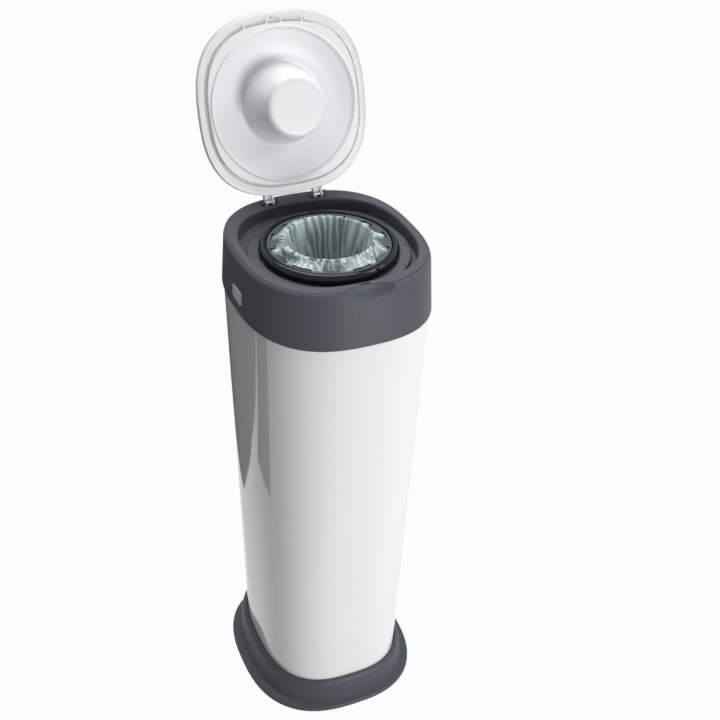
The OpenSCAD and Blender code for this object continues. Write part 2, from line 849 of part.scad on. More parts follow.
module lid_shell() {
    hw = lid_hw;
    hd = lid_hd;
    n = lid_n;
    y = ring_y;
    z = lid_z;
    crown = z + 8 + dome_h;
    lip = 3.2;
    color("whitesmoke")
    lid_opened()
    difference() {
        union() {
            difference() {
                loft([
                    ring(hw - 1.2, hd - 1.2, n, z, y),
                    ring(hw - 0.3, hd - 0.3, n, z + 1.2, y),
                    ring(hw, hd, n, z + 6, y),
                    ring(hw - 0.8, hd - 0.8, n, z + 7.8, y),
                    ring(hw - 2.6, hd - 2.6, n, z + 8.9, y),
                    ring(hw - 7.4, hd - 7.4, n, z + 10, y),
                    ring(hw - 12.5, hd - 12.5, n, crown - 10, y),
                    ring(hw - 23, hd - 23, 2.5, crown - 5.4, y),
                    ring(hw - 43, hd - 44, 2.3, crown - 2, y),
                    ring(hw - 72, hd - 74, 2, crown - 0.4, y),
                    ring(6, 6, 2, crown, y)
                ]);
                loft([
                    ring(hw - liner_side + 1.4, hd - liner_end + 1.6, n, z - 0.1, y),
                    ring(hw - liner_side + 1.4, hd - liner_end + 1.6, n, z + lip, y),
                    ring(hw - 3.4, hd - 3.4, n, z + lip + 0.1, y),
                    ring(hw - 3.2, hd - 3.2, n, z + 5.6, y),
                    ring(hw - 5.2, hd - 5.2, n, z + 7.2, y),
                    ring(hw - 9.6, hd - 9.6, n, z + 8, y),
                    ring(hw - 14.6, hd - 14.6, n, crown - 12.4, y),
                    ring(hw - 24.4, hd - 24.4, 2.5, crown - 7.8, y),
                    ring(hw - 44, hd - 45, 2.3, crown - 4.4, y),
                    ring(hw - 73, hd - 75, 2, crown - 2.8, y)
                ]);
                clip_zone(0.8)
                    plate(hw - 6, hd - liner_end + 4.4, n, z - 1, 1 + lip, y);
                translate([-38, 89.6, z - 1])
                    cube([76, 0.5, 1.4]);
            }
            lid_arms();
            hinge_ribs();
            latch_hook();
        }
        for (side = [-1, 1])
            translate([side * (knuckle_in + knuckle_w / 2) - 9, hinge_y, hinge_z])
                rotate([0, 90, 0])
                    cylinder(r = pin_r + 0.05, h = 18);
    }
}

// Keeps what lies in the stretch of the front edge where the liner clips into the shell
module clip_zone(gap = 0) {
    intersection() {
        children();
        translate([clip_from - gap, -120, 0])
            cube([clip_to - clip_from + 2 * gap, 50, 900]);
    }
}

// Snap hook and two smaller ribs at the front of the flange
module latch_hook() {
    translate([-5.6, -107.7, lid_z - 4.6])
        cube([3, 1.3, 5.6]);
    translate([-5.6, -107.9, lid_z - 4.6])
        cube([3, 0.8, 1.2]);
    for (x = [-0.6, 3.6])
        translate([x, -107.7, lid_z - 2.4])
            cube([1, 1.3, 3.4]);
}

// The dish that snaps into the shell: a plate with an upstand, a bead and catches
module lid_liner() {
    hw = lid_hw - liner_side;
    hd = lid_hd - liner_end;
    y = ring_y;
    z = liner_z;
    bead_r = 86.6;
    color("white")
    lid_opened()
    union() {
        difference() {
            plate(hw, hd, lid_n, z, 1.8, y);
            translate([0, y, z - 1])
                cylinder(r = bead_r - 1, h = 6);
        }
        difference() {
            plate(hw, hd, lid_n, z, 3.6, y);
            plate(hw - 1.6, hd - 1.6, lid_n, z - 1, 8, y);
        }
        turned([
            [bead_r + 2, 0.4], [bead_r + 1.8, -2.4], [bead_r + 1, -3.7], [bead_r, -4],
            [bead_r - 1.2, -3.4], [bead_r - 3, -0.8], [bead_r - 4.2, 0.6], [78, 2.2], [70, 3.9],
            [60, 4.9], [52, 5], [cup_root_r, 4.8], [cup_root_r, 6.6], [52, 6.8], [60, 6.7],
            [70, 5.8], [78, 4.2], [bead_r - 3.6, 2.6], [bead_r + 2, 1.8]
        ], z);
        clip_zone()
            difference() {
                plate(hw + 2.2, hd + 2.2, lid_n, z + 0.9, 1.6, y);
                plate(hw - 1, hd - 1, lid_n, z, 5, y);
            }
        for (x = [-38, -10.8, 6.2, 32])
            clip_bridge(x, hw + 2.2, hd + 2.2);
        for (side = [-1, 1])
            translate([side * (hw + 1), y, z + 1.1])
                cube([4, 18, 1.6], center = true);
    }
}

// A catch at x that reaches over the flange's lip on the front edge
module clip_bridge(x, hw, hd) {
    reach = hd * pow(1 - pow(abs(x) / hw, lid_n), 1 / lid_n);
    translate([x - 1.3, ring_y - reach - 3.4, liner_z + 0.3])
        cube([2.6, 5, 1.4]);
}

// The plug cup in the middle of the dish, a tapered pot with a rounded end
module plug_cup() {
    depth = liner_z - rim_z + cup_depth;
    color("white")
    lid_opened()
    turned([
        [cup_root_r, 4.8], [47.6, 4.2], [46.7, 3], [46.2, 1.2], [cup_r + 1.2, 8 - depth],
        [cup_r + 0.5, 4.6 - depth], [cup_r - 0.8, 2.2 - depth], [cup_r - 2.8, 0.7 - depth],
        [cup_r - 5.4, 0.1 - depth], [1, 0.2 - depth], [0.8, -0.2 - depth], [0, -0.2 - depth],
        [0, 2.1 - depth], [cup_r - 6, 2 - depth], [cup_r - 3, 3 - depth], [cup_r - 1.3, 5.6 - depth],
        [cup_r - 0.7, 8 - depth], [44.3, 1.2], [45.2, 4.4], [46.6, 6.1], [cup_root_r, 6.6]
    ], liner_z);
}

base_plinth();
foot_pads();
base_screws();
body_shell();
body_floor();
collar_shell();
dial_plate();
dial_marks();
film_gripper();
gripper_screws();
hinge_pin(-1);  // hinge_pin_left
hinge_pin(1);  // hinge_pin_right
release_button(-1);  // release_button_left
release_button(1);  // release_button_right
button_spring(-1);  // button_spring_left
button_spring(1);  // button_spring_right
twist_ring();
ring_retainer();
cassette_tub();
cassette_cover();
film_pack();
film_skirt();
film_funnel();
film_tube();
film_twist();
lid_shell();
lid_liner();
plug_cup();
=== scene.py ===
import math

import bpy
from mathutils import Matrix, Vector, noise


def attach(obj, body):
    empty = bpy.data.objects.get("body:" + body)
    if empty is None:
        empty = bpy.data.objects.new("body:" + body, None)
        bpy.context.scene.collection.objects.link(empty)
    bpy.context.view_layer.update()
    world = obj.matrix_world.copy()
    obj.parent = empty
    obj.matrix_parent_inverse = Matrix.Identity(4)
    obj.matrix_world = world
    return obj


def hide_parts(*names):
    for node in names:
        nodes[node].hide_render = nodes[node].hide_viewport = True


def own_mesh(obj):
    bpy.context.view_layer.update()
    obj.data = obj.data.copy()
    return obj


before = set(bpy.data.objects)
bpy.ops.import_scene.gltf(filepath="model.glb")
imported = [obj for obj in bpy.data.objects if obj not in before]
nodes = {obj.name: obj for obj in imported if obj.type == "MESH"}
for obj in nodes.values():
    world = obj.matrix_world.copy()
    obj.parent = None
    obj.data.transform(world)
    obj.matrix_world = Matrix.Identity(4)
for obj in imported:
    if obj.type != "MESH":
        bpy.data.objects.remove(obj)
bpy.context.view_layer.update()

scene = bpy.context.scene
scene.view_settings.view_transform = "Standard"

# ---- Camera ----
# A long lens looks down on the front left of the bin from well above the open lid.
# The frame is square, and the bin stands a little left of its middle.
look_at = Vector((0, 0, 0.47454))
camera_distance = 1.46598
turn = math.radians(-22.725)
tilt = math.radians(34.309)
roll = math.radians(0.942)
back = Vector((math.sin(turn) * math.cos(tilt), -math.cos(turn) * math.cos(tilt), math.sin(tilt)))
right = (-back).cross(Vector((0, 0, 1))).normalized()
up = right.cross(-back).normalized()
camera_right = math.cos(roll) * right + math.sin(roll) * up
camera_up = math.cos(roll) * up - math.sin(roll) * right

lens = bpy.data.cameras.new("bin_camera")
lens.lens = 61.37
lens.sensor_width = 36
lens.shift_x = 0.05035
camera = bpy.data.objects.new("bin_camera", lens)
place = Matrix((camera_right, camera_up, back)).transposed().to_4x4()
place.translation = look_at + camera_distance * back
camera.matrix_world = place
scene.collection.objects.link(camera)
scene.camera = camera

# ---- Studio ----
# A white room with a pale floor. A broad soft lamp stands low at the front right, a smaller one
# higher up at the right, and a wide one hangs overhead, a little behind the bin.


def soft_lamp(name, direction, distance, size, power, spot):
    """A soft panel that shines at a spot from the given direction and distance."""
    light = bpy.data.lights.new(name, "AREA")
    light.shape = "RECTANGLE"
    light.size, light.size_y = size
    light.energy = power
    lamp = bpy.data.objects.new(name, light)
    lamp.location = spot + distance * Vector(direction).normalized()
    lamp.rotation_euler = (spot - lamp.location).to_track_quat("-Z", "Y").to_euler()
    lamp.visible_camera = False
    scene.collection.objects.link(lamp)


middle = Vector((0, 0, 0.42))
soft_lamp("key_lamp", (0.32, -0.947, 0.03), 3.0, (1.0, 0.9), 55, middle)
soft_lamp("side_lamp", (0.8, -0.35, 0.75), 2.4, (1.0, 1.0), 13, middle)
soft_lamp("top_lamp", (0.0, 0.3, 1.0), 2.6, (2.0, 2.0), 63, middle)

# The walls give matt faces only a dim, slightly blue light, and polished faces a brighter mirror image.
# Seen straight on or through the lid, the walls are plain white.
room = bpy.data.worlds.new("white_room")
scene.world = room
room.use_nodes = True
wall = room.node_tree
wall.nodes.clear()


def new_node(tree, kind, **values):
    """Adds a shader node and sets its properties."""
    made = tree.nodes.new(kind)
    for key, value in values.items():
        setattr(made, key, value)
    return made


wall_ray = new_node(wall, "ShaderNodeLightPath")
dim = new_node(wall, "ShaderNodeBackground")
dim.inputs["Color"].default_value = (0.97, 0.985, 1.0, 1)
dim.inputs["Strength"].default_value = 0.17
seen = new_node(wall, "ShaderNodeBackground")
seen.inputs["Color"].default_value = (1, 1, 1, 1)
seen.inputs["Strength"].default_value = 1.0
mirrored = new_node(wall, "ShaderNodeBackground")
mirrored.inputs["Strength"].default_value = 0.9
glossy_mix = new_node(wall, "ShaderNodeMixShader")
wall.links.new(wall_ray.outputs["Is Glossy Ray"], glossy_mix.inputs[0])
wall.links.new(dim.outputs[0], glossy_mix.inputs[1])
wall.links.new(mirrored.outputs[0], glossy_mix.inputs[2])
clear_ray = new_node(wall, "ShaderNodeMath", operation="MAXIMUM")
wall.links.new(wall_ray.outputs["Is Camera Ray"], clear_ray.inputs[0])
wall.links.new(wall_ray.outputs["Is Transmission Ray"], clear_ray.inputs[1])
all_rays = new_node(wall, "ShaderNodeMixShader")
wall.links.new(clear_ray.outputs[0], all_rays.inputs[0])
wall.links.new(glossy_mix.outputs[0], all_rays.inputs[1])
wall.links.new(seen.outputs[0], all_rays.inputs[2])
world_out = new_node(wall, "ShaderNodeOutputWorld")
wall.links.new(all_rays.outputs[0], world_out.inputs[0])

# The floor glows almost white wherever it is seen or mirrored, so that shadows on it stay faint
floor_paint = bpy.data.materials.new("pale_floor")
floor_paint.use_nodes = True
paint = floor_paint.node_tree
paint.nodes.clear()
matt = new_node(paint, "ShaderNodeBsdfDiffuse")
matt.inputs["Color"].default_value = (0.5, 0.5, 0.5, 1)
glow = new_node(paint, "ShaderNodeEmission")
glow.inputs["Strength"].default_value = 1.0
floor_ray = new_node(paint, "ShaderNodeLightPath")
bright_ray = new_node(paint, "ShaderNodeMath", operation="MAXIMUM")
paint.links.new(floor_ray.outputs["Is Camera Ray"], bright_ray.inputs[0])
paint.links.new(floor_ray.outputs["Is Glossy Ray"], bright_ray.inputs[1])
any_bright = new_node(paint, "ShaderNodeMath", operation="MAXIMUM")
paint.links.new(bright_ray.outputs[0], any_bright.inputs[0])
paint.links.new(floor_ray.outputs["Is Transmission Ray"], any_bright.inputs[1])
glow_share = new_node(paint, "ShaderNodeMath", operation="MULTIPLY")
glow_share.inputs[1].default_value = 0.96
paint.links.new(any_bright.outputs[0], glow_share.inputs[0])
blend = new_node(paint, "ShaderNodeMixShader")
paint.links.new(glow_share.outputs[0], blend.inputs[0])
paint.links.new(matt.outputs[0], blend.inputs[1])
paint.links.new(glow.outputs[0], blend.inputs[2])
floor_out = new_node(paint, "ShaderNodeOutputMaterial")
paint.links.new(blend.outputs[0], floor_out.inputs[0])

floor_mesh = bpy.data.meshes.new("studio_floor")
far = 6
floor_corners = [(-far, -far, 0), (far, -far, 0), (far, far, 0), (-far, far, 0)]
floor_mesh.from_pydata(floor_corners, [], [(0, 1, 2, 3)])
floor = bpy.data.objects.new("studio_floor", floor_mesh)
floor_mesh.materials.append(floor_paint)
scene.collection.objects.link(floor)

# Two black cards lie on the floor at the back left, out of sight and casting no shadow.
# The polished body mirrors them as dark streaks with crisp edges.
black = bpy.data.materials.new("black_card")
black.use_nodes = True
card_face = black.node_tree.nodes["Principled BSDF"]
card_face.inputs["Base Color"].default_value = (0.01, 0.01, 0.01, 1)
card_face.inputs["Roughness"].default_value = 0.9
card_thickness = 0.002
card_plans = {
    "wide_card": [
        (-0.162, 0.34), (0.1, 0.75), (0.3, 2.2), (-2.4, 2.2), (-0.582, 0.523), (-0.448, 0.456),
        (-0.295, 0.421),
    ],
    "long_card": [
        (-0.34, 0.335), (-0.53, 0.455), (-2.4, 1.9), (-2.4, 0.93), (-0.73, 0.287), (-0.39, 0.14),
    ],
}
for name, plan in card_plans.items():
    card_mesh = bpy.data.meshes.new(name)
    card_mesh.from_pydata([(x, y, card_thickness) for x, y in plan], [], [list(range(len(plan)))])
    card_mesh.materials.append(black)
    card = bpy.data.objects.new(name, card_mesh)
    card.visible_camera = False
    card.visible_shadow = False
    scene.collection.objects.link(card)

# ---- Plinth ----
# The foot is one dark grey moulding with a finely etched, nearly matt skin.
# It stands on four rubber pads, and four plated screws hold it to the body's floor.


def plastic(name, colour, rough, grain=0.0, grain_size=0.0006, cloud=0.06, shine=0.5, clear=0.0):
    """Moulded plastic: a base colour with faint cloudiness, uneven gloss and a fine etched grain."""
    made = bpy.data.materials.new(name)
    made.use_nodes = True
    tree = made.node_tree
    skin = tree.nodes["Principled BSDF"]
    spot = new_node(tree, "ShaderNodeTexCoord")
    haze = new_node(tree, "ShaderNodeTexNoise")
    haze.inputs["Scale"].default_value = 14
    haze.inputs["Detail"].default_value = 4
    tree.links.new(spot.outputs["Object"], haze.inputs["Vector"])
    tint = new_node(tree, "ShaderNodeValToRGB")
    tint.color_ramp.elements[0].position = 0.3
    tint.color_ramp.elements[1].position = 0.7
    tint.color_ramp.elements[0].color = (*[c * (1 - cloud) for c in colour], 1)
    tint.color_ramp.elements[1].color = (*[min(1, c * (1 + cloud)) for c in colour], 1)
    tree.links.new(haze.outputs["Fac"], tint.inputs[0])
    tree.links.new(tint.outputs[0], skin.inputs["Base Color"])
    sheen = new_node(tree, "ShaderNodeMapRange")
    sheen.inputs["To Min"].default_value = rough * 0.88
    sheen.inputs["To Max"].default_value = min(1, rough * 1.12)
    tree.links.new(haze.outputs["Fac"], sheen.inputs["Value"])
    tree.links.new(sheen.outputs[0], skin.inputs["Roughness"])
    if grain:
        etch = new_node(tree, "ShaderNodeTexNoise")
        etch.inputs["Scale"].default_value = 1 / grain_size
        etch.inputs["Detail"].default_value = 3
        tree.links.new(spot.outputs["Object"], etch.inputs["Vector"])
        bump = new_node(tree, "ShaderNodeBump")
        bump.inputs["Strength"].default_value = grain
        bump.inputs["Distance"].default_value = 0.0002
        tree.links.new(etch.outputs["Fac"], bump.inputs["Height"])
        tree.links.new(bump.outputs[0], skin.inputs["Normal"])
    skin.inputs["Specular IOR Level"].default_value = shine
    skin.inputs["Transmission Weight"].default_value = clear
    return made


def dress(name, material, crease=34):
    """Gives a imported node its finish, smooths its curved faces and keeps edges sharper than the crease."""
    part = nodes[name]
    mesh = part.data
    for slot in part.material_slots:
        slot.material = material
    if not part.material_slots:
        mesh.materials.append(material)
    kept = mesh.attributes.get("custom_normal")
    if kept:
        mesh.attributes.remove(kept)
    mesh.polygons.foreach_set("use_smooth", [True] * len(mesh.polygons))
    join = part.modifiers.new("join", "WELD")
    join.merge_threshold = 0.00002
    split = part.modifiers.new("creases", "EDGE_SPLIT")
    split.split_angle = math.radians(crease)
    split.use_edge_sharp = False
    even = part.modifiers.new("even", "WEIGHTED_NORMAL")
    even.keep_sharp = True


plinth_skin = plastic("plinth_grey", (0.073, 0.081, 0.096), 0.5, grain=0.2, cloud=0.04, shine=0.25)
dress("base_plinth", plinth_skin, crease=15)

rubber = plastic("pad_rubber", (0.03, 0.03, 0.03), 0.8, grain=0.5, grain_size=0.001)
dress("foot_pads", rubber)


def plated(name, colour):
    """Bright zinc plating on steel with fine drawn lines."""
    made = bpy.data.materials.new(name)
    made.use_nodes = True
    tree = made.node_tree
    skin = tree.nodes["Principled BSDF"]
    skin.inputs["Metallic"].default_value = 1.0
    spot = new_node(tree, "ShaderNodeTexCoord")
    lines = new_node(tree, "ShaderNodeTexNoise")
    lines.inputs["Scale"].default_value = 900
    tree.links.new(spot.outputs["Object"], lines.inputs["Vector"])
    tint = new_node(tree, "ShaderNodeValToRGB")
    tint.color_ramp.elements[0].color = (*[c * 0.9 for c in colour], 1)
    tint.color_ramp.elements[1].color = (*[min(1, c * 1.1) for c in colour], 1)
    tree.links.new(lines.outputs["Fac"], tint.inputs[0])
    tree.links.new(tint.outputs[0], skin.inputs["Base Color"])
    rub = new_node(tree, "ShaderNodeMapRange")
    rub.inputs["To Min"].default_value = 0.24
    rub.inputs["To Max"].default_value = 0.4
    tree.links.new(lines.outputs["Fac"], rub.inputs["Value"])
    tree.links.new(rub.outputs[0], skin.inputs["Roughness"])
    return made


steel = plated("zinc_steel", (0.62, 0.63, 0.64))
dress("base_screws", steel)

# ---- Body ----
# The tapered body is one white, highly polished moulding, pushed into the plinth's socket.
# A plain grey tray closes it at the bottom.
body_skin = plastic("body_white", (0.838, 0.838, 0.84), 0.06, cloud=0.006)
dress("body_shell", body_skin)
tray_skin = plastic("floor_grey", (0.6, 0.6, 0.6), 0.5, grain=0.2)
dress("body_floor", tray_skin)

# ---- Head ----
# The collar lifts off the body. It is the plinth's grey with the same etched skin,
# and carries the dial disc, its printed marks, the hinge pins and the two buttons.
collar_skin = plastic("collar_grey", (0.073, 0.081, 0.096), 0.5, grain=0.2, cloud=0.04, shine=0.25)
dress("collar_shell", collar_skin, crease=15)
dial_skin = plastic("dial_grey", (0.055, 0.062, 0.074), 0.4, grain=0.2)
dress("dial_plate", dial_skin)
mark_ink = plastic("mark_black", (0.016, 0.017, 0.02), 0.5, grain=0.1)
dress("dial_marks", mark_ink)
dress("hinge_pin_left", steel)
dress("hinge_pin_right", steel)
button_skin = plastic("button_grey", (0.62, 0.62, 0.625), 0.42, grain=0.15, cloud=0.03)
dress("release_button_left", button_skin)
dress("release_button_right", button_skin)

mm = 0.001
rim_z = 640 * mm
ring_y = -10 * mm


def new_piece(name, points, faces, material, smooth=True):
    """A loose piece made from points in metres and faces between them."""
    mesh = bpy.data.meshes.new(name)
    mesh.from_pydata(points, [], faces)
    mesh.materials.append(material)
    mesh.polygons.foreach_set("use_smooth", [smooth] * len(mesh.polygons))
    piece = bpy.data.objects.new(name, mesh)
    scene.collection.objects.link(piece)
    return piece


def wrap_faces(rows, columns, flipped=False, closed=False):
    """Faces between rows of points that each run once round a piece; closed joins the last to the first."""
    faces = []
    for row in range(rows if closed else rows - 1):
        following = (row + 1) % rows
        for column in range(columns):
            beside = (column + 1) % columns
            here, below = row * columns, following * columns
            if flipped:
                faces.append((here + column, here + beside, below + beside, below + column))
            else:
                faces.append((here + column, below + column, below + beside, here + beside))
    return faces


# The coil behind each button has six turns of thin wire
coil_turns = 6
steps_a_turn = 24
coil_steps = coil_turns * steps_a_turn
wire_sides = 8
coil_radius = 3.4
wire_radius = 0.45
coil_start = 82.45
coil_length = 14.0
button_drop = 45
for side, sign in (("left", -1), ("right", 1)):
    coil_points = []
    for step in range(coil_steps + 1):
        along_turn = 2 * math.pi * step / steps_a_turn
        for k in range(wire_sides):
            round_wire = sign * 2 * math.pi * k / wire_sides
            out = coil_radius + wire_radius * math.cos(round_wire)
            across = coil_start + coil_length * step / coil_steps + wire_radius * math.sin(sign * round_wire)
            coil_points.append((
                sign * across * mm,
                ring_y + out * math.cos(along_turn) * mm,
                rim_z + (out * math.sin(along_turn) - button_drop) * mm,
            ))
    last_ring = coil_steps * wire_sides
    coil_ends = [tuple(range(wire_sides)), tuple(range(last_ring + wire_sides - 1, last_ring - 1, -1))]
    coil_faces = coil_ends + wrap_faces(coil_steps + 1, wire_sides)
    coil = new_piece("spring_coil_" + side, coil_points, coil_faces, steel)
    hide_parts("button_spring_" + side)
    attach(coil, "head")
    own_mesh(coil)

# ---- Film gripper ----
# A basket with twelve sprung fingers, screwed under the head, that grips the film while the ring turns.
# It is plain dark polypropylene straight from the mould.
gripper_skin = plastic("gripper_grey", (0.13, 0.13, 0.14), 0.5, grain=0.2)
dress("film_gripper", gripper_skin)
dress("gripper_screws", steel)

# ---- Twist ring ----
# The ring turns in the head to twist the film shut. It is glossy black, and a split collar
# snaps on its sleeve from below.
ring_skin = plastic("ring_black", (0.006, 0.010, 0.017), 0.1, cloud=0.1, shine=0.3)
dress("twist_ring", ring_skin)
dress("ring_retainer", gripper_skin)

# ---- Film cassette ----
# A ring-shaped tub of glossy grey plastic holds the folded film, under a cover with twelve
# broad tabs that point inwards.
tub_skin = plastic("cassette_grey", (0.08, 0.09, 0.10), 0.25, cloud=0.05)
dress("cassette_tub", tub_skin)
cover_skin = plastic("cover_grey", (0.06, 0.075, 0.085), 0.16, cloud=0.06)
dress("cassette_cover", cover_skin)

# ---- Film ----
# The film is a thin, milky green tube, stored folded in the tub. It comes up between the tabs,
# crumples over the tub's inner wall, and runs down in a pleated funnel to the gripper and its twist.


def thin_film(name):
    """Milky green film, as milky as each place says, with fine wrinkles, and clearer down the mouth as
    painted shade.
    """
    made = bpy.data.materials.new(name)
    made.use_nodes = True
    tree = made.node_tree
    skin = tree.nodes["Principled BSDF"]
    skin.inputs["Roughness"].default_value = 0.2
    spot = new_node(tree, "ShaderNodeTexCoord")
    milk = new_node(tree, "ShaderNodeTexNoise")
    milk.inputs["Scale"].default_value = 60
    milk.inputs["Detail"].default_value = 2
    tree.links.new(spot.outputs["Object"], milk.inputs["Vector"])
    tint = new_node(tree, "ShaderNodeValToRGB")
    tint.color_ramp.elements[0].position = 0.3
    tint.color_ramp.elements[1].position = 0.7
    tint.color_ramp.elements[0].color = (0.72, 0.87, 0.87, 1)
    tint.color_ramp.elements[1].color = (0.86, 0.97, 0.97, 1)
    tree.links.new(milk.outputs["Fac"], tint.inputs[0])
    tree.links.new(tint.outputs[0], skin.inputs["Base Color"])
    veil = new_node(tree, "ShaderNodeAttribute", attribute_name="milkiness")
    height_above = new_node(tree, "ShaderNodeSeparateXYZ")
    tree.links.new(spot.outputs["Object"], height_above.inputs[0])
    # Painted shade: the film turns clearer towards the bottom of the mouth, so the dark parts behind it
    # darken it as shade would
    depth_shade = new_node(tree, "ShaderNodeMapRange")
    depth_shade.inputs["From Min"].default_value = 0.575
    depth_shade.inputs["From Max"].default_value = 0.642
    depth_shade.inputs["To Min"].default_value = 0.6
    depth_shade.inputs["To Max"].default_value = 1.0
    tree.links.new(height_above.outputs["Z"], depth_shade.inputs["Value"])
    cover = new_node(tree, "ShaderNodeMath", operation="MULTIPLY")
    tree.links.new(veil.outputs["Fac"], cover.inputs[0])
    tree.links.new(depth_shade.outputs[0], cover.inputs[1])
    tree.links.new(cover.outputs[0], skin.inputs["Alpha"])
    folded = new_node(tree, "ShaderNodeTexNoise", noise_type="RIDGED_MULTIFRACTAL")
    folded.inputs["Scale"].default_value = 110
    folded.inputs["Detail"].default_value = 1
    tree.links.new(spot.outputs["Object"], folded.inputs["Vector"])
    wrinkle = new_node(tree, "ShaderNodeBump")
    wrinkle.inputs["Strength"].default_value = 0.25
    wrinkle.inputs["Distance"].default_value = 0.0006
    tree.links.new(folded.outputs["Fac"], wrinkle.inputs["Height"])
    tree.links.new(wrinkle.outputs[0], skin.inputs["Normal"])
    return made


film_skin = thin_film("film")

# The cover has a tab every 30 degrees, and the film laps over two of them towards the front.
# It lies low up to a tab's edge and is free a little beyond it, all in degrees from the tab's middle.
tab_pitch = 30
tab_turn = 11
tab_edge = 8.3
free_of_tab = 12.0
lapped_tabs = (-139, -79)
lap_edge = 9
free_of_lap = 14
# Profiles of radius and height above the rim in millimetres: under a tab, in a gap, over a lapped tab
under_tab = [(66.2, -7.0), (62.5, -6.9), (59.5, -6.4), (57.3, -4.6), (55.5, -1.8), (53.7, 1.0), (52.0, 3.6)]
in_gap = [(66.4, -4.4), (64.2, -1.2), (61.4, -0.2), (58.8, 0.5), (56.4, 1.6), (54.2, 3.0), (52.2, 4.4)]
over_tab = [(65.8, 0.7), (63.8, 1.1), (61.4, 0.9), (59.0, 1.2), (56.6, 2.1), (54.3, 3.3), (52.3, 4.6)]
# Over the wall's edge, down the funnel, through the gripper and into the twist: the radius of the
# folds' inner edges, the radius of their backs, and the height
throat = [
    (51.2, 51.2, 5.3), (50.3, 50.3, 6.0), (49.5, 49.5, 6.3), (48.8, 48.9, 5.9), (48.2, 48.4, 4.9),
    (47.8, 48.2, 3.5), (47.4, 48.1, 2.0), (46.9, 48.0, 0.2), (45.7, 48.0, -3.4), (44.3, 47.9, -8),
    (42.9, 47.6, -13), (41.6, 47.0, -18.5), (40.3, 46.3, -24), (38.9, 45.4, -30), (37.5, 44.2, -36.5),
    (35.4, 42.6, -43.5), (33.2, 40.6, -51), (30.6, 38.0, -59), (28.6, 35.6, -67), (27.2, 32.8, -75),
    (26.4, 30.6, -82), (26.0, 29.4, -89), (25.8, 29.3, -97), (25.6, 29.3, -106), (25.6, 29.3, -118),
    (25.4, 29.2, -132), (25.2, 28.9, -145), (23.6, 27.4, -156), (20.6, 24.4, -165), (16.6, 19.8, -173),
    (11.8, 14.4, -180), (6.2, 9.0, -185.4), (2.6, 5.0, -189.5), (1.6, 4.2, -193), (2.6, 6.4, -197),
    (1.4, 4.6, -200),
]
funnel_folds = 29
skirt_radius = 57
lean_side = 163
lean_most = 5.2
loose_rows = 6


def smooth_step(low, high, value):
    """Rises gently from 0 at low to 1 at high."""
    t = min(1, max(0, (value - low) / (high - low)))
    return t * t * (3 - 2 * t)


def between(profile, along):
    """A point on a profile, with along running from 0 to 1."""
    place = along * (len(profile) - 1)
    k = min(int(place), len(profile) - 2)
    t = place - k
    return [profile[k][i] * (1 - t) + profile[k + 1][i] * t for i in range(2)]


def pleat(angle, depth):
    """Folds of uneven width and depth, 0 at their sharp inner edges and up to 1 at their round backs."""
    round_spot = Vector((1.9 * math.cos(angle), 1.9 * math.sin(angle), depth * 0.012))
    drift = 1.5 * noise.noise(round_spot)
    place = funnel_folds * angle / (2 * math.pi) + drift + 0.5 * noise.noise(round_spot * 3.1)
    deep = 0.62 + 0.5 * noise.noise(Vector((3 * math.cos(angle) + 9, 3 * math.sin(angle), depth * 0.01)))
    return min(1, max(0.1, deep)) * abs(math.sin(math.pi * place)) ** 0.75


def crumple(circle, radius, height):
    """Creased film: sharp ridges that mostly run out from the mouth, about -1 to 1."""
    sway = 3.0 * noise.noise(circle * 5.3 + Vector((0, 0, 4)))
    x, y = skirt_radius * circle.x, skirt_radius * circle.y
    long = noise.noise(Vector((x, y, 0.35 * radius)) * 0.15)
    fine = noise.noise(Vector((x, y, 0.6 * radius + 40)) * 0.46)
    short = noise.noise(Vector((radius * circle.x, radius * circle.y, 3 * (height + sway))) * 0.3)
    return 1 - 1.6 * abs(long) - 0.6 * abs(fine) - 0.8 * abs(short)


def lean_out(circle, degrees):
    """The mouth stands open wider at the left, where the film leans out towards the tabs."""
    lean = 0.5 + 0.5 * math.cos(math.radians(degrees - lean_side))
    return lean_most * lean ** 1.6 + 1.1 * noise.noise(circle * 3.1)


def skirt_point(circle, degrees, along):
    """Radius, height and milkiness of the film between the tub (along 0) and the mouth (along 1)."""
    from_tab = abs((degrees - tab_turn + tab_pitch / 2) % tab_pitch - tab_pitch / 2)
    gap = smooth_step(tab_edge, free_of_tab, from_tab)
    lapped = 0.0
    for lap in lapped_tabs:
        off = abs((degrees - lap + 180) % 360 - 180)
        lapped = max(lapped, 1 - smooth_step(lap_edge, free_of_lap, off))
    low = between(under_tab, along)
    bulge = between(in_gap, along)
    over = between(over_tab, along)
    radius = low[0] + (bulge[0] - low[0]) * gap
    height = low[1] + (bulge[1] - low[1]) * gap
    radius += (over[0] - radius) * lapped
    height += (over[1] - height) * lapped
    radius += lean_out(circle, degrees) * along ** 2 * smooth_step(0.45, 1, along)
    # Creases grow as the film leaves the tub, stay flat under the tabs and ease off at the mouth
    free = 0.25 + 0.75 * max(gap, lapped)
    amount = smooth_step(0, 0.22, along) * free * (1 - 0.4 * smooth_step(0.8, 1, along))
    crease = crumple(circle, radius, height)
    rise = 1 + 0.35 * noise.noise(circle * 4.1 + Vector((2, 0, 0)))
    height += 2.0 * rise * amount * (crease - 0.45)
    radius += 0.8 * amount * (crease - 0.6)
    milk = 0.36 + 0.56 * smooth_step(0.35, 0.88, crease) + 0.16 * lapped
    return radius, height, milk


